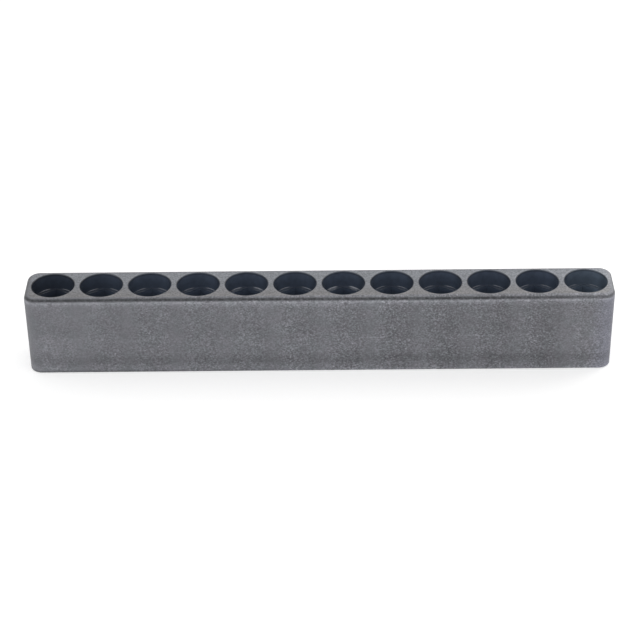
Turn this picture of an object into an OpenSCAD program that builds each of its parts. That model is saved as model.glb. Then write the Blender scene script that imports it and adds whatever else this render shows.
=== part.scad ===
// Bit holder: one moulded block with a row of sockets for quarter-inch
// hexagonal screwdriver bits. Millimetres, +Z up. The origin is the middle of
// the flat base, and the row of sockets runs along X.

/* [Sockets] */
// Number of sockets in the row
socket_count = 12; // [2:1:20]
// Distance from the axis of one socket to the next
socket_pitch = 9; // [8.6:0.1:16]
// Diameter of the round mouth
mouth_d = 7.9; // [7.7:0.05:8.5]
// Depth of the round mouth, from the top face to its ledge
mouth_depth = 3.3; // [1:0.1:6]
// Radius that rounds the lip of the mouth
lip_r = 0.15; // [0.05:0.01:0.24]
// Width across the flats of the hexagonal pocket
hex_flats = 6.6; // [6.4:0.05:6.8]
// Depth of the whole socket, from the top face to its floor
socket_depth = 14.4; // [8:0.1:22]

/* [Block] */
// Thickness of the floor under the sockets
floor_t = 1.9; // [1:0.1:6]
// Wall between the mouths and each long side
side_wall = 1.15; // [1.1:0.05:5]
// Wall between the last mouth and each end
end_wall = 1.2; // [1.1:0.05:8]
// Radius of the four upright corners
corner_r = 2.35; // [1.2:0.05:4]
// Radius of the edge round the top face
top_edge_r = 0.9; // [0.3:0.05:0.95]
// Radius of the edge round the base
foot_edge_r = 0.3; // [0.1:0.05:0.8]
// Lean of the walls, in degrees, that lets the block out of its mould
draft_angle = 0.25; // [0:0.05:1]

/* [Hidden] */
$fn = 96;

block_l = (socket_count - 1) * socket_pitch + mouth_d + 2 * end_wall;
block_w = mouth_d + 2 * side_wall;
block_h = socket_depth + floor_t;
// How far a cutter runs on past the surface that it opens
overrun = 1;
// Angle, in degrees, at which a rounded edge breaks from the flat beside it, as on a hand-finished mould
edge_break = 3;

// What an edge of radius r loses outside its arc, where it joins the drafted wall to a flat face at
// height face_z. side is 1 for the top edge and -1 for the foot.
module edge_waste(r, face_z, side) {
    inset = r * cos(edge_break);
    centre_z = face_z - side * inset;
    centre_x = corner_r - (block_h - centre_z) * tan(draft_angle) - inset / cos(draft_angle);
    translate([centre_x, centre_z]) difference() {
        polygon([
            [0, 0],
            [0, side * (r + overrun)],
            [r + overrun, side * (r + overrun)],
            (r + overrun) * [cos(draft_angle), -sin(draft_angle)]
        ]);
        circle(r = r);
    }
}

// Section of the block's rim, from the axis of a corner out to the wall
module rim_section() {
    foot_reach = corner_r - block_h * tan(draft_angle);
    difference() {
        polygon([[0, 0], [foot_reach, 0], [corner_r, block_h], [0, block_h]]);
        edge_waste(top_edge_r, block_h, 1);
        edge_waste(foot_edge_r, 0, -1);
    }
}

// The solid block before its sockets are cut: a core with the rim run along each side of it and
// turned at each corner
module blank() {
    core = [block_l - 2 * corner_r, block_w - 2 * corner_r];
    translate([0, 0, block_h / 2]) cube([core.x, core.y, block_h], center = true);
    for (side = [0 : 3]) {
        along = core[side % 2];
        across = core[(side + 1) % 2];
        rotate(90 * side) {
            translate([0, across / 2])
                rotate([90, 0, 90]) linear_extrude(height = along, center = true) rim_section();
            translate([along / 2, across / 2])
                rotate_extrude(angle = 90) rim_section();
        }
    }
}

// Section of the mouth cutter: straight wall that opens into a rounded lip
module mouth_section() {
    mouth_r = mouth_d / 2;
    square([mouth_r, mouth_depth + overrun]);
    difference() {
        translate([0, mouth_depth - lip_r]) square([mouth_r + lip_r, lip_r + overrun]);
        translate([mouth_r + lip_r, mouth_depth - lip_r]) circle(r = lip_r);
    }
}

// One socket, with its floor at z = 0: a hexagonal pocket, corners towards the long sides,
// under a round mouth that is a little wider than those corners
module socket() {
    pocket_h = socket_depth - mouth_depth + overrun;
    rotate(30) cylinder(d = hex_flats / cos(30), h = pocket_h, $fn = 6);
    translate([0, 0, socket_depth - mouth_depth]) rotate_extrude() mouth_section();
}

module holder_block() {
    color("dimgray") difference() {
        blank();
        for (i = [0 : socket_count - 1])
            translate([(i - (socket_count - 1) / 2) * socket_pitch, 0, floor_t]) socket();
    }
}

holder_block();
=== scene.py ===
# %% [markdown]
# This lesson dresses a screwdriver bit holder: one moulded block of charcoal ABS with twelve stepped
# sockets in its top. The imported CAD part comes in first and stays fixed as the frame. Everything that
# follows is made around it, in metres, with the block standing on z = 0 and its row of sockets along X.

# %% Open the frame
import math

import bmesh
import bpy
from mathutils import Matrix, Vector


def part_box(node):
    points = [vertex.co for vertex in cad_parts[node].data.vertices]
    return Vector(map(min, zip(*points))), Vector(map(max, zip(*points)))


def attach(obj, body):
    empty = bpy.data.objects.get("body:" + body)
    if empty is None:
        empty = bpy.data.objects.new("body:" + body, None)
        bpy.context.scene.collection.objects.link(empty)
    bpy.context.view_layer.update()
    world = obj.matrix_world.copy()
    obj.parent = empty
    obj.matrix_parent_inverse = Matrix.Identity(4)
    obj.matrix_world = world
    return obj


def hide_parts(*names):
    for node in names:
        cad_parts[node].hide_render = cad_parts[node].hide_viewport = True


MM = 0.001

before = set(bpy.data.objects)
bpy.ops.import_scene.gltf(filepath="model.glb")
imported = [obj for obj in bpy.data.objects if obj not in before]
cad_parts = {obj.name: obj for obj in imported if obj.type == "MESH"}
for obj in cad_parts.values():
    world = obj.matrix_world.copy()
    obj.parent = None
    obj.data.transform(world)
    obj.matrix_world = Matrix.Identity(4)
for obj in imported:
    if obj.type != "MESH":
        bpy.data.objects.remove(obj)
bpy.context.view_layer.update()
low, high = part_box("holder_block")
print("CAD block, mm:", [round((b - a) / MM, 2) for a, b in zip(low, high)])

# %% [markdown]
# The sizes of the real block are written once, in millimetres, because that is how a mould maker thinks
# of them. The length, width and height come from the frame itself, so the dressed block can't outgrow it.

# %% Sizes of the block
BLOCK_L, BLOCK_W, BLOCK_H = [(b - a) / MM for a, b in zip(low, high)]
SOCKETS = 12
PITCH = 9.0
MOUTH_R = 3.95
MOUTH_DEPTH = 3.3
LIP_R = 0.15
HEX_HALF = 3.3
HEX_TURN = math.radians(60)
FLOOR_T = 1.9
CORNER_R = 2.35
TOP_EDGE_R = 0.9
FOOT_EDGE_R = 0.3
DRAFT = math.radians(0.25)
QUARTER_TURN = math.radians(90)
first_axis = -PITCH * (SOCKETS - 1) / 2
print("first socket axis at x =", first_axis, "mm")

# %% [markdown]
# The camera comes before the mesh, so that every later test is seen from the right place. A product
# photograph like this one is taken from a good distance with a long lens, which keeps the long block from
# tapering. The camera looks down at the row by 33 degrees. Its axes are built from three small angles,
# and the point in the middle of the row of mouths is placed where it falls in the picture.

# %% Camera
PICTURE_PX = 640.0
FOCAL_PX = 2029.0
SENSOR_MM = 36.0
DISTANCE_MM = 376.9
NEAR_CLIP_M = 0.01
MIDDLE_PX = Vector((319.2, 283.1))
LOOK_DOWN = math.radians(33.28)
YAW = math.radians(-0.370)
ROLL = math.radians(0.719)

forward = math.cos(LOOK_DOWN)
ahead = Vector((math.sin(YAW) * forward, math.cos(YAW) * forward, -math.sin(LOOK_DOWN)))
level = Vector((math.cos(YAW), -math.sin(YAW), 0))
sinking = ahead.cross(level)
right = math.cos(ROLL) * level + math.sin(ROLL) * sinking
down = math.cos(ROLL) * sinking - math.sin(ROLL) * level
offset = (MIDDLE_PX - Vector((PICTURE_PX / 2, PICTURE_PX / 2))) / FOCAL_PX
row_middle = Vector((0, 0, BLOCK_H))
place = row_middle - (ahead + right * offset.x + down * offset.y) * DISTANCE_MM

camera_data = bpy.data.cameras.new("product_camera")
camera_data.sensor_width = SENSOR_MM
camera_data.lens = FOCAL_PX / PICTURE_PX * SENSOR_MM
camera_data.clip_start = NEAR_CLIP_M
camera = bpy.data.objects.new("product_camera", camera_data)
axes = Matrix((right, -down, -ahead)).transposed()
camera.matrix_world = Matrix.Translation(place * MM) @ axes.to_4x4()
bpy.context.scene.collection.objects.link(camera)
bpy.context.scene.camera = camera
print("lens", round(camera_data.lens, 1), "mm, camera at", [round(v) for v in place], "mm")

# %% [markdown]
# Colours are written as the sRGB hex values that a paint program shows. Blender's nodes want linear
# light, so one function turns them, with the numbers of the sRGB standard.

# %% Colours
def linear(hex_colour):
    """An sRGB hex colour as linear red, green, blue and alpha."""
    parts = [int(hex_colour[i:i + 2], 16) / 255 for i in (1, 3, 5)]
    return [c / 12.92 if c <= 0.04045 else ((c + 0.055) / 1.055) ** 2.4 for c in parts] + [1.0]


print("mid grey in linear light:", round(linear("#808080")[0], 3))

# %% [markdown]
# Lights and materials are trees of nodes. They could be put together by hand in the shader editor, but a
# tree written in code can be read from top to bottom and made again at any time. One function adds a node
# with its settings and links, and all that follows is built with it: settings are the node's own options,
# and inputs are numbers, the output sockets of other nodes, or whole nodes, whose first output is used.

# %% Nodes
def add_node(tree, kind, inputs=None, stops=None, **settings):
    """Adds a node, with its options, its input values or links, and the stops of a ramp if it has one."""
    node = tree.nodes.new("ShaderNode" + kind)
    for name, value in settings.items():
        setattr(node, name, value)
    for name, value in (inputs or {}).items():
        if isinstance(value, bpy.types.Node):
            value = value.outputs[0]
        if isinstance(value, bpy.types.NodeSocket):
            tree.links.new(value, node.inputs[name])
        else:
            node.inputs[name].default_value = value
    if stops:
        ramp = node.color_ramp
        while len(ramp.elements) < len(stops):
            ramp.elements.new(1.0)
        for element, (position, value) in zip(ramp.elements, stops):
            element.position = position
            element.color = (value, value, value, 1)
    return node


def new_material(name):
    """An empty material with its output node, and its node tree."""
    material = bpy.data.materials.new(name)
    material.use_nodes = True
    material.node_tree.nodes.clear()
    return material, material.node_tree, add_node(material.node_tree, "OutputMaterial")


print("two helpers: add_node and new_material")

# %% [markdown]
# The studio is a white tent. A dome of plain light reaches the block from everywhere, so a colour renders
# about as it is written. The camera and shiny surfaces see the tent as pure white. The Light Path node
# makes that possible, because it tells their rays from the rays that carry light to the block.

# %% White tent
TENT_STRENGTH = 0.78
WHITE = "#FFFFFF"

scene = bpy.context.scene
scene.view_settings.view_transform = "Standard"
world = bpy.data.worlds.new("white_tent")
scene.world = world
world.use_nodes = True
tent = world.node_tree
tent.nodes.clear()


def seen_directly(tree):
    """1 for the rays that the camera, a shiny or a clear surface sends out, and 0 for all others."""
    path = add_node(tree, "LightPath")
    seen = path.outputs["Is Camera Ray"]
    for ray in ("Is Glossy Ray", "Is Transmission Ray"):
        seen = add_node(tree, "Math", {0: seen, 1: path.outputs[ray]}, operation="MAXIMUM")
    return seen


strength = add_node(tent, "MapRange", {"Value": seen_directly(tent), "To Min": TENT_STRENGTH})
glow = add_node(tent, "Background", {"Color": linear(WHITE), "Strength": strength})
add_node(tent, "OutputWorld", {"Surface": glow})
print("tent strength", TENT_STRENGTH)

# %% [markdown]
# In an even tent a grey block looks flat, so two soft boxes lean on it: one behind the right end, which
# lightens that end and the rounded corner beside it, and a weaker one at the left. Area lamps were chosen
# because their width softens the shadow. They need only hundredths of a watt, because they stand within a
# quarter of a metre of the block.

# %% Soft boxes
def soft_box(name, place_mm, width_mm, height_mm, watts, hex_colour):
    """A rectangular lamp that faces the middle of the block."""
    data = bpy.data.lights.new(name, "AREA")
    data.shape = "RECTANGLE"
    data.size = width_mm * MM
    data.size_y = height_mm * MM
    data.energy = watts
    data.color = linear(hex_colour)[:3]
    lamp = bpy.data.objects.new(name, data)
    lamp.location = Vector(place_mm) * MM
    lamp.rotation_euler = (-Vector(place_mm)).to_track_quat("-Z", "Y").to_euler()
    lamp.visible_camera = False
    scene.collection.objects.link(lamp)
    return lamp


box_right = soft_box("soft_box_right", place_mm=(110, 60, 90), width_mm=80, height_mm=80, watts=0.036,
                     hex_colour="#FFFCF8")
box_left = soft_box("soft_box_left", place_mm=(-190, -70, 120), width_mm=110, height_mm=110, watts=0.034,
                    hex_colour=WHITE)
print("soft boxes", [round(lamp.location.length / MM) for lamp in (box_right, box_left)], "mm away")

# %% [markdown]
# The block stands on a white sheet. The sheet is a plain plane, wide enough to fill the picture. To the
# camera it gets a little glow on top of its own colour, which takes the open sheet to white and leaves
# the soft shadow beside the block.

# %% White sheet
SHEET_HALF_M = 1.5
SHEET_GLOW = 0.40
PAPER_COLOUR = "#F0F0F0"

sheet_mesh = bpy.data.meshes.new("white_sheet")
corners = [(sx * SHEET_HALF_M, sy * SHEET_HALF_M, 0) for sx, sy in ((-1, -1), (1, -1), (1, 1), (-1, 1))]
sheet_mesh.from_pydata(corners, [], [(0, 1, 2, 3)])
white_sheet = bpy.data.objects.new("white_sheet", sheet_mesh)
scene.collection.objects.link(white_sheet)

sheet_paper, tree, output = new_material("matte white paper")
glow_strength = add_node(tree, "Math", {0: seen_directly(tree), 1: SHEET_GLOW}, operation="MULTIPLY")
paper = add_node(tree, "BsdfDiffuse", {"Color": linear(PAPER_COLOUR)})
glow = add_node(tree, "Emission", {"Color": linear(WHITE), "Strength": glow_strength})
both = add_node(tree, "AddShader", {0: paper, 1: glow})
tree.links.new(both.outputs[0], output.inputs["Surface"])
sheet_mesh.materials.append(sheet_paper)
print("sheet", 2 * SHEET_HALF_M, "m wide")

# %% [markdown]
# The block could be cut with boolean tools, as in CAD, but booleans leave long thin faces that shade
# badly on a glossy edge. Here each socket gets its own cell of the block instead. A ring of points runs
# round the mouth, and each point has a partner on the cell's border, straight out from the axis. Every
# ring of the socket and every row of the wall uses the same directions, so all faces are neat quads.
#
# First come the borders. A quarter of a cell ends either in a web that is shared with the next cell, or
# in the rounded end of the block. Each border point carries the outward direction of the wall there, and
# a point on a web has none. The steps are counted up to the first corner of the hexagon, on to the
# block's own corner or the end of the web, and from there along the side.

# %% A quarter of the border
HEX_CORNER_STEPS = 9
WEB_STEPS, SIDE_STEPS = 4, 14
END_STEPS, TURN_STEPS, END_SIDE_STEPS = 1, 24, 10
FLAT_X = BLOCK_L / 2 - TOP_EDGE_R + first_axis
FLAT_Y = BLOCK_W / 2 - TOP_EDGE_R
TURN_R = CORNER_R - TOP_EDGE_R


def steps(start, end, count):
    """count even steps from start towards end, without end itself."""
    return [start + (end - start) * i / count for i in range(count)]


def border_quarter(at_end):
    """Border points of a quarter cell from +X round to +Y, as x, y and the wall's outward direction."""
    hex_corner = HEX_TURN / 2
    to_hex_corner = steps(0, hex_corner, HEX_CORNER_STEPS)
    if at_end:
        turn_from = math.atan2(FLAT_Y - TURN_R, FLAT_X)
        turn_to = math.atan2(FLAT_Y, FLAT_X - TURN_R)
        points = [(FLAT_X, FLAT_X * math.tan(a), 1.0, 0.0)
                  for a in to_hex_corner + steps(hex_corner, turn_from, END_STEPS)]
        points += [(FLAT_X - TURN_R + TURN_R * math.cos(t), FLAT_Y - TURN_R + TURN_R * math.sin(t),
                    math.cos(t), math.sin(t)) for t in steps(0, QUARTER_TURN, TURN_STEPS)]
        side = steps(turn_to, QUARTER_TURN, END_SIDE_STEPS)
    else:
        corner = math.atan2(FLAT_Y, PITCH / 2)
        points = [(PITCH / 2, PITCH / 2 * math.tan(a), 0.0, 0.0)
                  for a in to_hex_corner + steps(hex_corner, corner, WEB_STEPS)]
        side = steps(corner, QUARTER_TURN, SIDE_STEPS)
    return points + [(FLAT_Y / math.tan(a), FLAT_Y, 0.0, 1.0) for a in side] + [(0.0, FLAT_Y, 0.0, 1.0)]


print("points on a quarter:", len(border_quarter(False)), "inside,", len(border_quarter(True)), "at an end")

# %% [markdown]
# Four quarters make the whole border of a cell. Two of them are mirror images, and a mirror image runs
# the other way round, so its points are taken in reverse. The border then runs counter-clockwise all the
# way, and later every face knows which side is its outside.

# %% The whole border
def border(ends_left, ends_right):
    """The whole border of a cell, counter-clockwise from +X, out of four quarters."""
    quarters = [(border_quarter(ends_right), 1, 1), (border_quarter(ends_left), -1, 1),
                (border_quarter(ends_left), -1, -1), (border_quarter(ends_right), 1, -1)]
    points = []
    for points_here, sx, sy in quarters:
        ordered = points_here if sx == sy else points_here[::-1]
        points += [(sx * x, sy * y, sx * nx, sy * ny) for x, y, nx, ny in ordered[:-1]]
    return points


print("points round an inner cell:", len(border(False, False)))
print("points round an end cell:", len(border(True, False)))

# %% [markdown]
# Next comes the section of the rim: the large arc at the top edge, the long wall that leans in by a
# quarter of a degree so that the block leaves its mould, and the small arc at the foot. Both arcs meet
# their neighbours without a break, which is what gives a moulded edge its unbroken line of shine.

# %% Section of the rim
TOP_ARC_STEPS = 14
WALL_STEPS = 16
FOOT_ARC_STEPS = 6


def wall_reach(z):
    """How far the drafted wall lies outside the corner axis at height z."""
    return CORNER_R - (BLOCK_H - z) * math.tan(DRAFT)


def rim_section():
    """Reach and height of each row, from the edge of the flat top down to the base."""
    rows = []
    arcs = [(TOP_EDGE_R, BLOCK_H - TOP_EDGE_R, QUARTER_TURN, -DRAFT, TOP_ARC_STEPS),
            (FOOT_EDGE_R, FOOT_EDGE_R, -DRAFT, -QUARTER_TURN, FOOT_ARC_STEPS)]
    for radius, z, start, end, count in arcs:
        centre = wall_reach(z) - radius / math.cos(DRAFT)
        for angle in steps(start, end, count) + [end]:
            rows.append((centre + radius * math.cos(angle), z + radius * math.sin(angle)))
    upper, lower = rows[TOP_ARC_STEPS], rows[TOP_ARC_STEPS + 1]
    wall = list(zip(steps(upper[0], lower[0], WALL_STEPS), steps(upper[1], lower[1], WALL_STEPS)))[1:]
    return rows[:TOP_ARC_STEPS + 1] + wall + rows[TOP_ARC_STEPS + 1:]


rim_rows = rim_section()
print(len(rim_rows), "rows from z", round(rim_rows[0][1], 2), "to", round(rim_rows[-1][1], 2), "mm")

# %% [markdown]
# A socket has two shapes. The mouth is round, for easy entry, and the pocket under it is a hexagon that
# stops the bit from turning. Its corners fall just inside the round wall, so the ledge between them is a
# set of six thin crescents. Each ring is either round or hexagonal, and the tiny arcs at the lip, at the
# ledge and at the floor are there because a mould is never quite sharp.

# %% Rings of a socket
LIP_STEPS = 5
LEDGE_ARC = 0.06
POCKET_EDGE = 0.05
FLOOR_ARC = 0.2


def ring_reach(ring, direction):
    """Distance of a ring from the socket's axis in one direction."""
    kind, size, _ = ring
    if kind == "round":
        return size
    return size / math.cos((direction + HEX_TURN / 2) % HEX_TURN - HEX_TURN / 2)


def arc_rings(kind, radius, size, height, degrees):
    """Rings of one small arc, whose centre lies at this size and height."""
    turns = [math.radians(angle) for angle in degrees]
    return [(kind, size + radius * math.cos(t), height + radius * math.sin(t)) for t in turns]


ledge = BLOCK_H - MOUTH_DEPTH
rings = arc_rings("round", LIP_R, MOUTH_R + LIP_R, BLOCK_H - LIP_R, steps(90, 180, LIP_STEPS) + [180])
rings.append(("round", MOUTH_R, (BLOCK_H + ledge) / 2))
rings += arc_rings("round", LEDGE_ARC, MOUTH_R - LEDGE_ARC, ledge + LEDGE_ARC, (0, -45, -90))
rings += arc_rings("hex", POCKET_EDGE, HEX_HALF + POCKET_EDGE, ledge - POCKET_EDGE, (90, 135, 180))
rings.append(("hex", HEX_HALF, (ledge + FLOOR_T) / 2))
rings += arc_rings("hex", FLOOR_ARC, HEX_HALF - FLOOR_ARC, FLOOR_T + FLOOR_ARC, (0, -30, -60, -90))
print(len(rings), "rings, pocket", round(2 * HEX_HALF, 2), "mm across its flats")

# %% [markdown]
# One cell is a socket with the top, walls and base around it. The rows of the wall and the rings of the
# socket are strips of quads, the floor of each socket is one polygon, and so is each cell's share of the
# base. Every face is told which of three finishes it will have: the sides, the top or the sockets.

# %% One cell of the block
SIDE, TOP, SOCKET = 0, 1, 2


def add_strip(mesh, first, second, material, closed):
    """Quads between two rows of vertices."""
    count = len(first) if closed else len(first) - 1
    for i in range(count):
        j = (i + 1) % len(first)
        mesh.faces.new((first[i], second[i], second[j], first[j])).material_index = material


def add_cell(mesh, axis_x, ends_left, ends_right):
    """One socket with the top face, walls and base around it."""
    points = border(ends_left, ends_right)
    directions = [math.atan2(y, x) for x, y, _, _ in points]
    loops = [[mesh.verts.new(((axis_x + ring_reach(ring, d) * math.cos(d)) * MM,
                              ring_reach(ring, d) * math.sin(d) * MM, ring[2] * MM))
              for d in directions] for ring in rings]
    for i in range(len(loops) - 1):
        add_strip(mesh, loops[i], loops[i + 1], SOCKET, True)
    mesh.faces.new(loops[-1]).material_index = SOCKET

    columns = []
    for x, y, nx, ny in points:
        rows = rim_rows if nx or ny else rim_rows[:1]
        columns.append([mesh.verts.new(((axis_x + x + (r - rows[0][0]) * nx) * MM,
                                        (y + (r - rows[0][0]) * ny) * MM, z * MM)) for r, z in rows])
    add_strip(mesh, [column[0] for column in columns], loops[0], TOP, True)
    for i, column in enumerate(columns):
        following = columns[(i + 1) % len(columns)]
        if len(column) > 1 and len(following) > 1:
            add_strip(mesh, following, column, SIDE, False)
    mesh.faces.new([column[-1] for column in columns if len(column) > 1][::-1]).material_index = SIDE


print("an inner cell has", len(border(False, False)) * (len(rings) - 1), "quads in its socket")

# %% [markdown]
# Now the cells are set side by side and joined into one mesh. Points that neighbouring cells share are
# merged at the end, which closes the skin. A closed skin has no open edge, so that number is printed.

# %% Join the cells
MERGE_M = 1e-7

skin = bmesh.new()
for index in range(SOCKETS):
    add_cell(skin, first_axis + index * PITCH, index == 0, index == SOCKETS - 1)
bmesh.ops.remove_doubles(skin, verts=skin.verts, dist=MERGE_M)
open_edges = sum(not edge.is_manifold for edge in skin.edges)
block_mesh = bpy.data.meshes.new("moulded_block")
skin.to_mesh(block_mesh)
skin.free()
moulded_block = bpy.data.objects.new("moulded_block", block_mesh)
scene.collection.objects.link(moulded_block)
print(len(block_mesh.polygons), "faces,", open_edges, "open edges")

# %% [markdown]
# A mesh this fine is shaded smooth, apart from the six corners of each pocket. Plain smooth shading would
# tilt the light on the flat faces beside each arc, so a Weighted Normal modifier lets the larger face
# decide: flats stay flat, and all the turning happens inside the arcs.

# %% Shading of the mesh
SHARP_ANGLE = math.radians(30)

block_mesh.shade_smooth()
block_mesh.set_sharp_from_angle(angle=SHARP_ANGLE)
weighted = moulded_block.modifiers.new("flat faces stay flat", "WEIGHTED_NORMAL")
weighted.keep_sharp = True
triangles = sum(len(face.vertices) - 2 for face in block_mesh.polygons)
print(triangles, "triangles")

# %% [markdown]
# ABS is a hard, slightly glossy plastic with an IOR of about 1.54. One moulding has three finishes here,
# because three parts of the mould formed it, and so there are three materials. Their patterns could be
# painted on an unwrapped skin. Instead they are made from noise in the block's own millimetres, so they
# keep their real size and don't stretch round the corners.

# %% Millimetres for the plastic
ABS_IOR = 1.54


def object_mm(tree):
    """The object's own coordinates in millimetres, whole and as x, y and z."""
    place = add_node(tree, "TexCoord")
    scaled = add_node(tree, "VectorMath", {0: place.outputs["Object"], "Scale": 1 / MM}, operation="SCALE")
    apart = add_node(tree, "SeparateXYZ", {0: scaled})
    return scaled, apart.outputs["X"], apart.outputs["Y"], apart.outputs["Z"]


print("IOR of ABS:", ABS_IOR)

# %% [markdown]
# The sides come from steel that was spark-eroded: thousands of tiny craters leave a fine pebbled skin,
# which scatters light and turns black plastic into a speckled grey. The speckle is drawn at its real
# width of about a quarter of a millimetre, with a few paler dots in it. Bump alone would hardly show in
# such soft light, so the same noise also makes the grey darker and lighter.

# %% Spark-eroded sides: the speckle
LINEAR, SMOOTH = "LINEAR", "SMOOTHSTEP"
SPECKLE_MM = 0.26
SPECKLE_STRETCH = (0.8, 0.8, 1.0)
DOT_MM = 0.3
DOT_STARTS, DOT_FULL, DOT_GAIN = 0.66, 0.8, 0.36

eroded, tree, output = new_material("ABS spark eroded")
place, x, y, z = object_mm(tree)
stretched = add_node(tree, "VectorMath", {0: place, 1: SPECKLE_STRETCH}, operation="MULTIPLY")
speckle = add_node(tree, "TexNoise", {"Vector": stretched, "Scale": 1 / SPECKLE_MM, "Detail": 1.0})
centred = add_node(tree, "Math", {0: speckle, 1: -0.5}, operation="ADD")
dots = add_node(tree, "TexNoise", {"Vector": place, "Scale": 1 / DOT_MM, "Detail": 0.0})
pale_dots = add_node(tree, "MapRange", {"Value": dots, "From Min": DOT_STARTS, "From Max": DOT_FULL,
                                        "To Max": DOT_GAIN}, interpolation_type=SMOOTH)
print("speckle", SPECKLE_MM, "mm, dots", DOT_MM, "mm")

# %% [markdown]
# No long moulding looks the same from end to end: the steel wears at one end before the other. A table
# lists how the finish of the sides, and the shade and light painted on them, change along the block.
# Each row says where the change starts and ends, in millimetres, the value before and after it, and how
# it eases in between.

# %% Spark-eroded sides: trends along the block
TRENDS = {
    "boldness": (-54.0, 20.0, 0.52, 0.82, LINEAR),
    "boldness high up": (-50.0, -12.0, 0.68, 1.0, LINEAR),
    # The dark line and its gaps are partly a painted dark reflection.
    "height of the line, mm": (-37.0, 25.0, -0.07, 0.054, SMOOTH),
    "shade of its gaps": (-30.0, 25.0, 0.74, 0.54, LINEAR),
    # Painted shade of sink marks, then paler low at the left end, painted shade and light at the foot, and
    # painted light on the rounded edge.
    "sink marks": (-40.0, 30.0, 0.98, 0.86, LINEAR),
    "low at the left end": (-51.0, -44.0, 1.11, 1.0, SMOOTH),
    "foot": (-35.0, 8.0, 0.64, 1.25, LINEAR),
    "rounded edge": (-30.0, 50.0, 1.13, 1.4, LINEAR),
}

trend = {}
for name, (start, end, before, after, easing) in TRENDS.items():
    trend[name] = add_node(tree, "MapRange", {"Value": x, "From Min": start, "From Max": end,
                                              "To Min": before, "To Max": after}, interpolation_type=easing)
print(len(trend), "trends along the block")

# %% [markdown]
# Most patterns only make a shade darker or lighter, by a factor that runs from one value to another
# along x, y, z or a noise. Such factors are listed in small tables, and one function multiplies a shade
# by all rows of a table. Most values of a noise lie between 0.3 and 0.7. A colour ramp holds 0 to 1 only,
# so the ramps are drawn around one half and doubled afterwards. Those that follow the row of sockets run
# from x = -55 mm to x = 55 mm.

# %% Shades from tables
NOISE_LOW, NOISE_HIGH = 0.3, 0.7
RAMP_GAIN = 2.0
RAMP_HALF_MM = 55.0


def shade_by(tree, shade, table):
    """Multiplies a shade by one factor for each row of a table.

    A row holds a value, where the change of the factor starts and ends, the factor before and after it,
    and how it eases in between.
    """
    for value, start, end, before, after, easing in table.values():
        factor = add_node(tree, "MapRange", {"Value": value, "From Min": start, "From Max": end,
                                             "To Min": before, "To Max": after},
                          interpolation_type=easing)
        shade = add_node(tree, "Math", {0: shade, 1: factor}, operation="MULTIPLY")
    return shade


print("ramps along the row cover", 2 * RAMP_HALF_MM, "mm")

# %% [markdown]
# The speckle isn't equally bold everywhere. It is calm beside the webs between the sockets and bold
# beside the sockets themselves, it comes in patches, and it fades towards both ends. A ping-pong node
# folds x back and forth between a web and the next socket, so one range serves the whole row, and a ramp
# holds the wear of the steel along the block.

# %% Spark-eroded sides: bold and calm places
SPECKLE_CONTRAST = 1.78
BOLD_SHIFT_MM = -0.4
WEB_CALM_MM, SOCKET_BOLD_MM = 0.4, 2.8
BOLD_GAIN = 0.55
PATCH_MM = 4.0
PATCH_SWING = 0.25
TOOL_WEAR = [(0.055, 0.435), (0.155, 0.48), (0.28, 0.5), (0.42, 0.525), (0.545, 0.5), (0.68, 0.55),
             (0.82, 0.535), (0.873, 0.51), (0.927, 0.42)]

shifted = add_node(tree, "Math", {0: x, 1: BOLD_SHIFT_MM}, operation="ADD")
from_web = add_node(tree, "Math", {0: shifted, 1: PITCH / 2}, operation="PINGPONG")
by_socket = add_node(tree, "MapRange", {"Value": from_web, "From Min": WEB_CALM_MM,
                                        "From Max": SOCKET_BOLD_MM}, interpolation_type=SMOOTH)
patches = add_node(tree, "TexNoise", {"Vector": place, "Scale": 1 / PATCH_MM, "Detail": 1.0})
by_patch = add_node(tree, "MapRange", {"Value": patches, "From Min": NOISE_LOW, "From Max": NOISE_HIGH,
                                       "To Min": -PATCH_SWING, "To Max": PATCH_SWING})
relief = add_node(tree, "Math", {0: by_socket, 1: BOLD_GAIN, 2: trend["boldness"]},
                  operation="MULTIPLY_ADD")
relief = add_node(tree, "Math", {0: relief, 1: by_patch}, operation="ADD")
dotted = add_node(tree, "Math", {0: pale_dots, 1: relief, 2: 1.0}, operation="MULTIPLY_ADD")

along = add_node(tree, "MapRange", {"Value": x, "From Min": -RAMP_HALF_MM, "From Max": RAMP_HALF_MM})
tool_wear = add_node(tree, "ValToRGB", {"Fac": along}, stops=TOOL_WEAR)
contrast = add_node(tree, "Math", {0: relief, 1: RAMP_GAIN * SPECKLE_CONTRAST}, operation="MULTIPLY")
contrast = add_node(tree, "Math", {0: contrast, 1: tool_wear}, operation="MULTIPLY")
contrast = shade_by(tree, contrast, {"high up": (z, 6.0, 12.0, 1.0, trend["boldness high up"], LINEAR)})
print("bold speckle every", PITCH, "mm, in patches of", PATCH_MM, "mm")

# %% [markdown]
# The rounded top edge carries a thin, smoother strip all round the block, drawn as a dark line. Its
# dark colour is partly the bare black of smooth plastic and partly a painted dark reflection. The line
# is never even: a slow noise makes it wander up and down, a quicker one breaks it, and it is fainter at
# the right end.

# %% Painted dark reflection along the top edge
LINE_DEPTH_MM = 0.36
LINE_HALF_MM = 0.15
LINE_FADE_MM = 0.16
WANDER_SIZE_MM = 1.25
WANDER_MM = 0.1
BREAK_MM = 2 / 3

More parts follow.
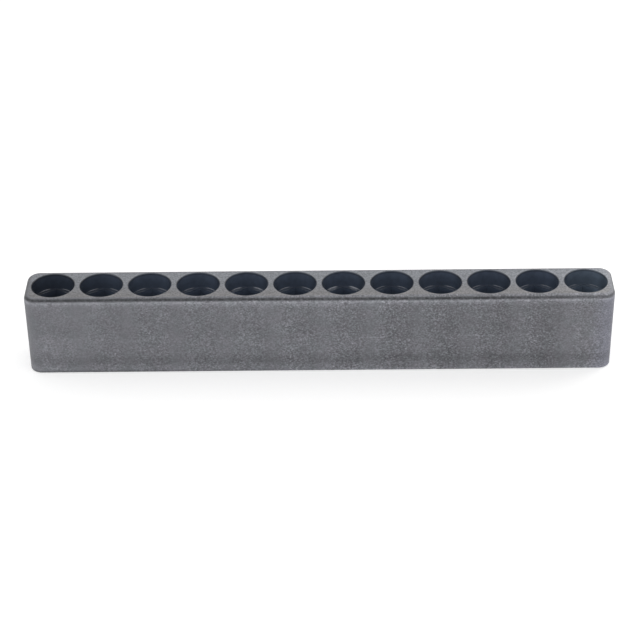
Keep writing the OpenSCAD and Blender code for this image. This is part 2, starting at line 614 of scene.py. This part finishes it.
below_top = add_node(tree, "Math", {0: BLOCK_H, 1: z}, operation="SUBTRACT")
below_top = add_node(tree, "Math", {0: below_top, 1: trend["height of the line, mm"]}, operation="SUBTRACT")
wander = add_node(tree, "TexNoise", {"Vector": place, "Scale": 1 / WANDER_SIZE_MM})
line_depth = add_node(tree, "Math", {0: wander, 1: WANDER_MM, 2: LINE_DEPTH_MM - WANDER_MM / 2},
                      operation="MULTIPLY_ADD")
from_line = add_node(tree, "Math", {0: below_top, 1: line_depth}, operation="SUBTRACT")
from_line = add_node(tree, "Math", {0: from_line}, operation="ABSOLUTE")
breaks = add_node(tree, "TexNoise", {"Vector": place, "Scale": 1 / BREAK_MM})
# The dark line: a smoother strip, its colour partly bare black plastic and partly a painted dark
# reflection.
smooth_dark_reflection = shade_by(tree, 1.0, {
    "the line itself": (from_line, LINE_HALF_MM - LINE_FADE_MM / 2, LINE_HALF_MM + LINE_FADE_MM,
                        1.0, 0.0, SMOOTH),
    "fainter to the right": (x, 31.0, 50.0, 1.0, 0.5, LINEAR),
    "broken by noise": (breaks, 0.36, 0.6, trend["shade of its gaps"], 1.0, LINEAR),
})
print("burnished line", 2 * LINE_HALF_MM, "mm wide,", LINE_DEPTH_MM, "mm below the top")

# %% [markdown]
# Under the line runs a pale band, partly scuffs and partly a painted reflection of the white sheet in
# front of the block. It starts sharply where the rounded edge turns into the wall and dies away
# downwards, as an exponent does, faster towards both ends than near the middle. The noise that breaks
# the line also sets where the knocks are.

# %% Scuffs and painted reflection under the line
SCUFF_AND_SHEEN_FADE_MM = 0.65
SCUFF_AND_SHEEN_MIDDLE_MM = -8.0
FADE_EVEN_MM, FADE_ENDS_MM = 5.0, 38.0
FASTER_AT_ENDS = 1.65
KNOCK_LOW, KNOCK_HIGH = 0.35, 0.65
KNOCK_SWING = 0.5

off_middle = add_node(tree, "Math", {0: x, 1: SCUFF_AND_SHEEN_MIDDLE_MM}, operation="SUBTRACT")
off_middle = add_node(tree, "Math", {0: off_middle}, operation="ABSOLUTE")
fall_rate = add_node(tree, "MapRange", {"Value": off_middle, "From Min": FADE_EVEN_MM,
                                        "From Max": FADE_ENDS_MM, "To Min": 1 / SCUFF_AND_SHEEN_FADE_MM,
                                        "To Max": FASTER_AT_ENDS / SCUFF_AND_SHEEN_FADE_MM})
fading = add_node(tree, "Math", {0: TOP_EDGE_R, 1: below_top}, operation="SUBTRACT")
fading = add_node(tree, "Math", {0: fading, 1: fall_rate}, operation="MULTIPLY")
fading = add_node(tree, "Math", {0: fading}, operation="EXPONENT")
fading = add_node(tree, "Math", {0: fading, 1: 1.0}, operation="MINIMUM")
knocks = add_node(tree, "MapRange", {"Value": breaks, "From Min": KNOCK_LOW, "From Max": KNOCK_HIGH,
                                     "To Min": 1 - KNOCK_SWING, "To Max": 1 + KNOCK_SWING})
# A pale band: partly scuffs, partly a painted reflection of the white sheet in front.
scuffs_and_sheen = add_node(tree, "Math", {0: fading, 1: knocks}, operation="MULTIPLY")
scuffs_and_sheen = shade_by(tree, scuffs_and_sheen, {
    "starts under the line": (below_top, 0.5, 0.95, 0.0, 1.0, SMOOTH),
    "stronger to the right": (x, -50.0, 30.0, 0.78, 1.28, LINEAR),
    "weaker at the last socket": (x, 44.0, 50.0, 1.0, 0.5, LINEAR),
})
print("scuffs fade over", SCUFF_AND_SHEEN_FADE_MM, "mm")

# %% [markdown]
# A long moulded wall is never one even grey. It has soft bands up it and along it: a dark one low down
# and a weaker one above the middle. Painted shade and light lie among them: the shade of faint sink marks
# beside each socket, shade and light along the foot, light on the rounded top edge, and lighter ends,
# most of all the corner at the right end. Two ramps hold the bands up the wall and along it, and a
# cloudy noise is laid over them.

# %% Bands of the sides
WALL_BANDS = [(0.0, 0.575), (0.07, 0.545), (0.11, 0.466), (0.14, 0.397), (0.185, 0.391), (0.225, 0.46),
              (0.28, 0.499), (0.35, 0.511), (0.43, 0.519), (0.51, 0.489), (0.59, 0.47), (0.67, 0.478),
              (0.74, 0.49), (0.8, 0.488), (0.88, 0.473)]
# Its ends are painted lighter, most of all the corner at the right end: painted light.
LENGTH_BANDS = [(0.01, 0.465), (0.03, 0.52), (0.05, 0.525), (0.1, 0.515), (0.16, 0.495), (0.34, 0.503),
                (0.42, 0.518), (0.5, 0.52), (0.6, 0.501), (0.74, 0.472), (0.9, 0.475), (0.927, 0.52),
                (0.955, 0.585), (0.97, 0.668), (0.98, 0.68), (0.993, 0.57)]
CLOUD_MM = 2.857
CLOUD_DARK, CLOUD_LIGHT = 0.93, 1.05
SINK_SHIFT_MM = -1.5

up_wall = add_node(tree, "MapRange", {"Value": z, "From Max": BLOCK_H})
wall_bands = add_node(tree, "ValToRGB", {"Fac": up_wall}, stops=WALL_BANDS)
length_bands = add_node(tree, "ValToRGB", {"Fac": along}, stops=LENGTH_BANDS)
clouds = add_node(tree, "TexNoise", {"Vector": place, "Scale": 1 / CLOUD_MM})
shifted = add_node(tree, "Math", {0: x, 1: SINK_SHIFT_MM}, operation="ADD")
from_web = add_node(tree, "Math", {0: shifted, 1: PITCH / 2}, operation="PINGPONG")
banded = add_node(tree, "Math", {0: wall_bands, 1: length_bands}, operation="MULTIPLY")
banded = add_node(tree, "Math", {0: banded, 1: RAMP_GAIN * RAMP_GAIN}, operation="MULTIPLY")
banded = shade_by(tree, banded, {
    "clouds": (clouds, NOISE_LOW, NOISE_HIGH, CLOUD_DARK, CLOUD_LIGHT, LINEAR),
    # Painted shade of faint sink marks beside each socket; the mesh has no dents.
    "sink marks": (from_web, 0.3, 3.6, 1.0, trend["sink marks"], SMOOTH),
    "paler low at the left": (z, 3.0, 9.0, trend["low at the left end"], 1.0, LINEAR),
    # Painted shade along the foot at the left, turning to painted light towards the right.
    "line at the foot": (z, 0.3, 0.75, trend["foot"], 1.0, SMOOTH),
    # Painted light on the upper part of the rounded top edge.
    "light on the rounded edge": (below_top, 0.02, 0.26, trend["rounded edge"], 1.0, LINEAR),
})
print("sink marks follow the sockets, every", PITCH, "mm")

# %% [markdown]
# The front has a few fine level scratches. Each is a short bright line, given by where it is along the
# block and up the wall, half its length, and how bright it is. A noise lets it waver a little, and the
# knocks of the scuffs break it up. They could be cut in the mesh, but they are finer than its faces.

# %% Fine scratches on the front
SCRATCHES = [(29.0, 7.7, 3.6, 0.62), (10.0, 7.55, 3.2, 0.55), (31.0, 11.1, 3.2, 0.38),
             (6.0, 6.1, 2.6, 0.32), (29.0, 5.05, 2.8, 0.32)]
SCRATCH_HALF_MM = 0.12
FADES_FROM = 0.6
WAVER_SIZE_MM = 1.667
WAVER_MM = 0.5

waver = add_node(tree, "TexNoise", {"Vector": place, "Scale": 1 / WAVER_SIZE_MM, "Detail": 1.0})
waved_z = add_node(tree, "Math", {0: waver, 1: WAVER_MM, 2: z}, operation="MULTIPLY_ADD")
on_front = add_node(tree, "Math", {0: y, 1: 0.0}, operation="LESS_THAN")
scratched = 1.0
for scratch_x, scratch_z, half_length, gain in SCRATCHES:
    off_x = add_node(tree, "Math", {0: x, 1: scratch_x}, operation="SUBTRACT")
    off_x = add_node(tree, "Math", {0: off_x}, operation="ABSOLUTE")
    off_z = add_node(tree, "Math", {0: waved_z, 1: scratch_z + WAVER_MM / 2}, operation="SUBTRACT")
    off_z = add_node(tree, "Math", {0: off_z}, operation="ABSOLUTE")
    mark = shade_by(tree, on_front, {
        "fades at its ends": (off_x, FADES_FROM * half_length, half_length, gain, 0.0, LINEAR),
        "is thin": (off_z, 0.0, SCRATCH_HALF_MM, 1.0, 0.0, LINEAR),
    })
    scratched = add_node(tree, "Math", {0: mark, 1: knocks, 2: scratched}, operation="MULTIPLY_ADD")
print(len(SCRATCHES), "scratches")

# %% [markdown]
# Now the shades of the sides meet. They all multiply one another, because each is a ratio of the grey: a
# pale band that lightens a pale place by half lightens a dark band by half too. The speckle goes through
# an exponent first, so that its dark grains are as far from the grey as its pale ones. The band of scuffs
# and painted reflection also flattens the speckle under it.

# %% Shade of the sides
SCUFF_AND_SHEEN_GAIN = 0.9
SCUFF_AND_SHEEN_FLATTENS = 0.35

flattened = add_node(tree, "Math", {0: scuffs_and_sheen, 1: -SCUFF_AND_SHEEN_FLATTENS, 2: 1.0}, operation="MULTIPLY_ADD")
contrast = add_node(tree, "Math", {0: contrast, 1: flattened}, operation="MULTIPLY")
grain = add_node(tree, "Math", {0: centred, 1: contrast}, operation="MULTIPLY")
grain = add_node(tree, "Math", {0: grain}, operation="EXPONENT")
# The band of scuffs and painted reflection lightens the grey.
lighter = add_node(tree, "Math", {0: scuffs_and_sheen, 1: SCUFF_AND_SHEEN_GAIN, 2: 1.0}, operation="MULTIPLY_ADD")
shade = banded
for factor in (lighter, grain, dotted, scratched):
    shade = add_node(tree, "Math", {0: shade, 1: factor}, operation="MULTIPLY")
print("a full scuff is", 1 + SCUFF_AND_SHEEN_GAIN, "times as light")

# %% [markdown]
# The grey itself wavers between a cool and a warm charcoal, as pigment that is not quite mixed does. The
# right end is painted bluer, as a bluish light would tint it. The dark line is mixed in last. It is
# shinier than the rest, because no pebbled skin roughens it there, and its dark colour is partly bare
# black plastic and partly a painted dark reflection. The craters also give a fine bump.

# %% Colour and shine of the sides
ERODED_COLOUR = "#73757A"
ERODED_WARM_COLOUR = "#75757B"
BLUE_LIGHT_END_COLOUR = "#757681"
# Colour of the dark line: bare black plastic with a painted dark reflection.
DARK_REFLECTION_COLOUR = "#202227"
PIGMENT_MM = 2.222
COOL_BELOW, WARM_ABOVE = 0.38, 0.62
ERODED_ROUGHNESS, BURNISHED_ROUGHNESS = 0.55, 0.38
CRATER_STRENGTH, CRATER_DEPTH_MM = 0.35, 0.03

# Painted bluish light on the right end, below the rounded edge.
at_right = shade_by(tree, 1.0, {"right end": (x, 50.0, 53.5, 0.0, 1.0, LINEAR),
                                "below the edge": (below_top, 0.5, 1.2, 0.0, 1.0, LINEAR)})
unmixed = add_node(tree, "TexNoise", {"Vector": place, "Scale": 1 / PIGMENT_MM})
unmixed = add_node(tree, "MapRange", {"Value": unmixed, "From Min": COOL_BELOW, "From Max": WARM_ABOVE})
pigment = add_node(tree, "Mix", {0: unmixed, 6: linear(ERODED_COLOUR), 7: linear(ERODED_WARM_COLOUR)},
                   data_type="RGBA")
pigment = add_node(tree, "Mix", {0: at_right, 6: pigment.outputs[2], 7: linear(BLUE_LIGHT_END_COLOUR)},
                   data_type="RGBA")
coloured = add_node(tree, "VectorMath", {0: pigment.outputs[2], "Scale": shade}, operation="SCALE")
# The dark line goes in last, partly bare black plastic and partly a painted dark reflection.
coloured = add_node(tree, "Mix", {0: smooth_dark_reflection, 6: coloured, 7: linear(DARK_REFLECTION_COLOUR)}, data_type="RGBA")
roughness = add_node(tree, "MapRange", {"Value": smooth_dark_reflection, "To Min": ERODED_ROUGHNESS,
                                        "To Max": BURNISHED_ROUGHNESS})
craters = add_node(tree, "Bump", {"Height": speckle, "Strength": CRATER_STRENGTH,
                                  "Distance": CRATER_DEPTH_MM * MM})
plastic = add_node(tree, "BsdfPrincipled", {"Base Color": coloured.outputs[2], "Roughness": roughness,
                                            "IOR": ABS_IOR, "Normal": craters})
tree.links.new(plastic.outputs[0], output.inputs["Surface"])
block_mesh.materials.append(eroded)
print("sides", ERODED_COLOUR)

# %% [markdown]
# The top face was cut smoother in the mould, so it is an even satin grey. Its real grain is too fine to
# show in a picture of the whole block, so it is drawn low and about a third of a millimetre wide. Faint
# streaks run along the face where it slid against other things. The rings round the mouths need each
# point's distance from the axis of its socket, so that is measured here too.

# %% Satin top: grain and distances
FINE_GRAIN_MM = 0.3
STREAK_LENGTH_MM, STREAK_WIDTH_MM = 6.0, 0.714

satin, tree, output = new_material("ABS satin top")
place, x, y, _ = object_mm(tree)
fine = add_node(tree, "TexNoise", {"Vector": place, "Scale": 1 / FINE_GRAIN_MM, "Detail": 1.0})
drawn_out = add_node(tree, "VectorMath", {0: place, 1: (1 / STREAK_LENGTH_MM, 1 / STREAK_WIDTH_MM, 1.0)},
                     operation="MULTIPLY")
streaks = add_node(tree, "TexNoise", {"Vector": drawn_out, "Scale": 1.0})
from_web = add_node(tree, "Math", {0: x, 1: PITCH / 2}, operation="PINGPONG")
side_x = add_node(tree, "Math", {0: PITCH / 2, 1: from_web}, operation="SUBTRACT")
side_y = add_node(tree, "Math", {0: y}, operation="ABSOLUTE")
from_axis = add_node(tree, "CombineXYZ", {"X": side_x, "Y": y})
from_axis = add_node(tree, "VectorMath", {0: from_axis}, operation="LENGTH").outputs["Value"]
print("streaks", STREAK_LENGTH_MM, "mm long and", STREAK_WIDTH_MM, "mm wide")

# %% [markdown]
# The top is painted lighter towards the back and the right end, and darker at the left, as light falls
# on it there, and it is a little warmer at the front, where it is handled. A ring of painted shade runs
# round each mouth, where the face turns down into the lip, and a painted highlight of the lip lies just
# outside it.

# %% Satin top: shades and colour
TOP_COLOUR = "#777A80"
TOP_FRONT_COLOUR = "#7B7A7C"
TOP_ROUGHNESS = 0.42
END_STARTS_MM, END_MM = 5.0, 54.0
END_GAIN, END_POWER = 0.24, 3.0
FINE_STRENGTH, FINE_DEPTH_MM = 0.2, 0.01

# Painted light towards the right end of the top.
to_end = add_node(tree, "MapRange", {"Value": x, "From Min": END_STARTS_MM, "From Max": END_MM})
to_end = add_node(tree, "Math", {0: to_end, 1: END_POWER}, operation="POWER")
to_end = add_node(tree, "Math", {0: to_end, 1: END_GAIN, 2: 1.0}, operation="MULTIPLY_ADD")
# Painted shade where the face turns down into the lip, darkest in front and behind.
lip_shade = shade_by(tree, 1.0, {"darkest in front and behind": (side_y, 2.2, 3.6, 1.0, 0.55, SMOOTH)})
shade = shade_by(tree, to_end, {
    "fine grain": (fine, 0.25, 0.75, 0.6, 1.4, LINEAR),
    "streaks": (streaks, NOISE_LOW, NOISE_HIGH, 0.92, 1.08, LINEAR),
    # Painted light towards the back and past the last socket, painted shade at the left:
    "lighter to the back": (y, -2.5, 3.5, 0.915, 1.105, SMOOTH),
    "darker at the left": (x, -54.0, -12.0, 0.9, 1.0, LINEAR),
    "lighter past the last socket": (x, 50.0, 53.0, 1.0, 1.15, LINEAR),
    # Painted shade at the lip:
    "dark ring at the lip": (from_axis, 4.12, 4.24, lip_shade, 1.0, SMOOTH),
    # Painted highlight of the lip, just outside each mouth:
    "pale ring outside it": (from_axis, 4.3, 4.8, 1.07, 1.0, SMOOTH),
})
handled = shade_by(tree, 1.0, {"towards the front": (y, -3.8, 0.6, 1.0, 0.0, SMOOTH)})
pigment = add_node(tree, "Mix", {0: handled, 6: linear(TOP_COLOUR), 7: linear(TOP_FRONT_COLOUR)},
                   data_type="RGBA")
coloured = add_node(tree, "VectorMath", {0: pigment.outputs[2], "Scale": shade}, operation="SCALE")
grit = add_node(tree, "Bump", {"Height": fine, "Strength": FINE_STRENGTH, "Distance": FINE_DEPTH_MM * MM})
plastic = add_node(tree, "BsdfPrincipled", {"Base Color": coloured, "Roughness": TOP_ROUGHNESS,
                                            "IOR": ABS_IOR, "Normal": grit})
tree.links.new(plastic.outputs[0], output.inputs["Surface"])
block_mesh.materials.append(satin)
print("top", TOP_COLOUR)

# %% [markdown]
# The sockets were formed by polished core pins. Their walls are smooth and keep the full depth of the
# pigment, a blue black. To place wear inside them, a few distances are measured first: how far a point
# is from its socket's axis along the row, how far across the hexagon, and how far above the ledge.

# %% Distances inside a socket
polished, tree, output = new_material("ABS off polished pins")
place, x, y, z = object_mm(tree)
from_web = add_node(tree, "Math", {0: x, 1: PITCH / 2}, operation="PINGPONG")
side_x = add_node(tree, "Math", {0: PITCH / 2, 1: from_web}, operation="SUBTRACT")
side_y = add_node(tree, "Math", {0: y}, operation="ABSOLUTE")
slanted = add_node(tree, "Math", {0: side_y, 1: math.sin(HEX_TURN)}, operation="MULTIPLY")
slanted = add_node(tree, "Math", {0: side_x, 1: math.cos(HEX_TURN), 2: slanted}, operation="MULTIPLY_ADD")
across = add_node(tree, "Math", {0: side_x, 1: slanted}, operation="MAXIMUM")
above_ledge = add_node(tree, "Math", {0: z, 1: BLOCK_H - MOUTH_DEPTH}, operation="SUBTRACT")
off_ledge = add_node(tree, "Math", {0: above_ledge}, operation="ABSOLUTE")
along = add_node(tree, "MapRange", {"Value": x, "From Min": -RAMP_HALF_MM, "From Max": RAMP_HALF_MM})
print("ledge at z =", round(BLOCK_H - MOUTH_DEPTH, 2), "mm")

# %% [markdown]
# Thin pale arcs shine at the foot of the round wall, where it meets the ledge, and more faintly at the
# edge of the pocket. They are painted highlights. The arcs could be pieces of mesh, but the measured
# distances put them just at the foot of the wall and the edge of the pocket, with soft ends. A ramp over
# the row says how strong they are in each socket.

# %% Painted highlights of the arcs
GLINT_HEIGHT_MM = 0.13
GLINT_START_MM = 0.03
GLINT_NARROW_MM, GLINT_WIDE_MM = 0.1, 0.17
WIDER_ABOVE = 0.76
POCKET_GLINT = 0.22
GLINT_STRENGTHS = [(0.0, 0.75), (0.3, 0.66), (0.35, 0.92), (0.4, 0.92), (0.44, 0.76), (0.48, 0.76), (0.52, 1.0),
       (0.56, 1.0), (0.6, 0.68), (0.86, 0.62), (0.95, 0.5)]

# How strong the painted highlight is in each socket.
glint_strength = add_node(tree, "ValToRGB", {"Fac": along}, stops=GLINT_STRENGTHS)
glint_width = add_node(tree, "MapRange", {"Value": glint_strength, "From Min": WIDER_ABOVE, "To Min": GLINT_NARROW_MM,
                                        "To Max": GLINT_WIDE_MM})
off_glint = add_node(tree, "Math", {0: above_ledge, 1: GLINT_HEIGHT_MM}, operation="SUBTRACT")
off_glint = add_node(tree, "Math", {0: off_glint}, operation="ABSOLUTE")
wall_foot = shade_by(tree, 1.0, {
    "at the foot": (off_glint, GLINT_START_MM, glint_width, 1.0, 0.0, SMOOTH),
    "outside the pocket": (across, 3.38, 3.55, 0.0, 1.0, SMOOTH),
})
pocket_edge = shade_by(tree, POCKET_GLINT, {
    "at the pocket": (across, 3.32, 3.44, 1.0, 0.0, SMOOTH),
    "on the ledge": (off_ledge, 0.04, 0.09, 1.0, 0.0, SMOOTH),
})
# Painted highlight at the foot of the wall and at the pocket's edge.
painted_glint = add_node(tree, "Math", {0: wall_foot, 1: pocket_edge}, operation="MAXIMUM")
painted_glint = add_node(tree, "Math", {0: painted_glint, 1: glint_strength}, operation="MULTIPLY")
painted_glint = shade_by(tree, painted_glint, {
    "not in front and behind": (side_x, 0.9, 1.7, 0.05, 1.0, SMOOTH),
    "less towards the webs": (side_x, 2.4, 3.1, 1.0, 0.25, SMOOTH),
})
print("rubbed arcs", GLINT_HEIGHT_MM, "mm above the ledge")

# %% [markdown]
# Shade is painted inside a socket where little light reaches the polished wall: at the lip and towards
# its sides. The pocket and the ledge get their own painted shades, and the first socket is painted
# darkest and the last one lightest, as light falls along the row. Faint streaks stay where the pins
# slid out.

# %% Shades inside the sockets
LEDGE_SHADE = 0.75
JUST_UNDER_LEDGE_MM = -0.1
PIN_STREAK_MM = 0.8333
# Painted shade and light along the row: the first socket darkest, the last lightest.
PAINTED_SOCKET_SHADES = [(0.073, 0.29), (0.145, 0.44), (0.227, 0.5), (0.864, 0.51), (0.936, 0.70), (0.98, 0.9)]

streak = add_node(tree, "TexNoise", {"Vector": place, "Scale": 1 / PIN_STREAK_MM})
painted_by_socket = add_node(tree, "ValToRGB", {"Fac": along}, stops=PAINTED_SOCKET_SHADES)
# Painted shade low on the round wall and deep in the pocket.
round_wall = shade_by(tree, 1.0, {"darker low down": (above_ledge, 0.6, 1.8, 0.92, 1.0, LINEAR)})
pocket = shade_by(tree, 1.0, {"darker deep down": (above_ledge, -0.85, -0.55, 1.15, 1.4, LINEAR)})
in_mouth = add_node(tree, "Math", {0: above_ledge, 1: JUST_UNDER_LEDGE_MM}, operation="GREATER_THAN")
shade = add_node(tree, "Mix", {0: in_mouth, 2: pocket, 3: round_wall})
shade = add_node(tree, "Math", {0: shade, 1: painted_by_socket}, operation="MULTIPLY")
shade = add_node(tree, "Math", {0: shade, 1: RAMP_GAIN}, operation="MULTIPLY")
# Painted shade towards the sides, on the ledge and at the lip:
shade = shade_by(tree, shade, {
    "streaks": (streak, NOISE_LOW, NOISE_HIGH, 0.9, 1.1, LINEAR),
    "darker to the sides": (side_x, 2.4, 3.9, 1.0, 0.55, SMOOTH),
    "dark ledge": (off_ledge, 0.04, 0.09, LEDGE_SHADE, 1.0, SMOOTH),
    "dark lip": (z, BLOCK_H - 0.5, BLOCK_H - 0.2, 1.0, 0.5, LINEAR),
})
print(len(PAINTED_SOCKET_SHADES), "stops for the shades of", SOCKETS, "sockets")

# %% [markdown]
# The pigment shows as a blue black here, a little less blue in the last socket. The walls came off smooth
# steel, so they get no bump and a low roughness, which keeps their reflections clear. The pale colour of
# the painted highlights on the arcs is mixed in last.

# %% Colour and shine of the sockets
PIN_COLOUR = "#505A6B"
PIN_END_COLOUR = "#505A67"
GLINT_COLOUR = "#DADCE2"
PIN_ROUGHNESS = 0.30

last_pin = shade_by(tree, 1.0, {"only the last socket": (x, 44.0, 47.0, 0.0, 1.0, LINEAR)})
pigment = add_node(tree, "Mix", {0: last_pin, 6: linear(PIN_COLOUR), 7: linear(PIN_END_COLOUR)},
                   data_type="RGBA")
coloured = add_node(tree, "VectorMath", {0: pigment.outputs[2], "Scale": shade}, operation="SCALE")
# The pale colour of the painted highlights.
coloured = add_node(tree, "Mix", {0: painted_glint, 6: coloured, 7: linear(GLINT_COLOUR)}, data_type="RGBA")
plastic = add_node(tree, "BsdfPrincipled", {"Base Color": coloured.outputs[2], "Roughness": PIN_ROUGHNESS,
                                            "IOR": ABS_IOR})
tree.links.new(plastic.outputs[0], output.inputs["Surface"])
block_mesh.materials.append(polished)
print("sockets", PIN_COLOUR)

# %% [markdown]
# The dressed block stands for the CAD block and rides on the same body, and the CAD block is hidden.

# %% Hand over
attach(moulded_block, "root")
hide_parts("holder_block")
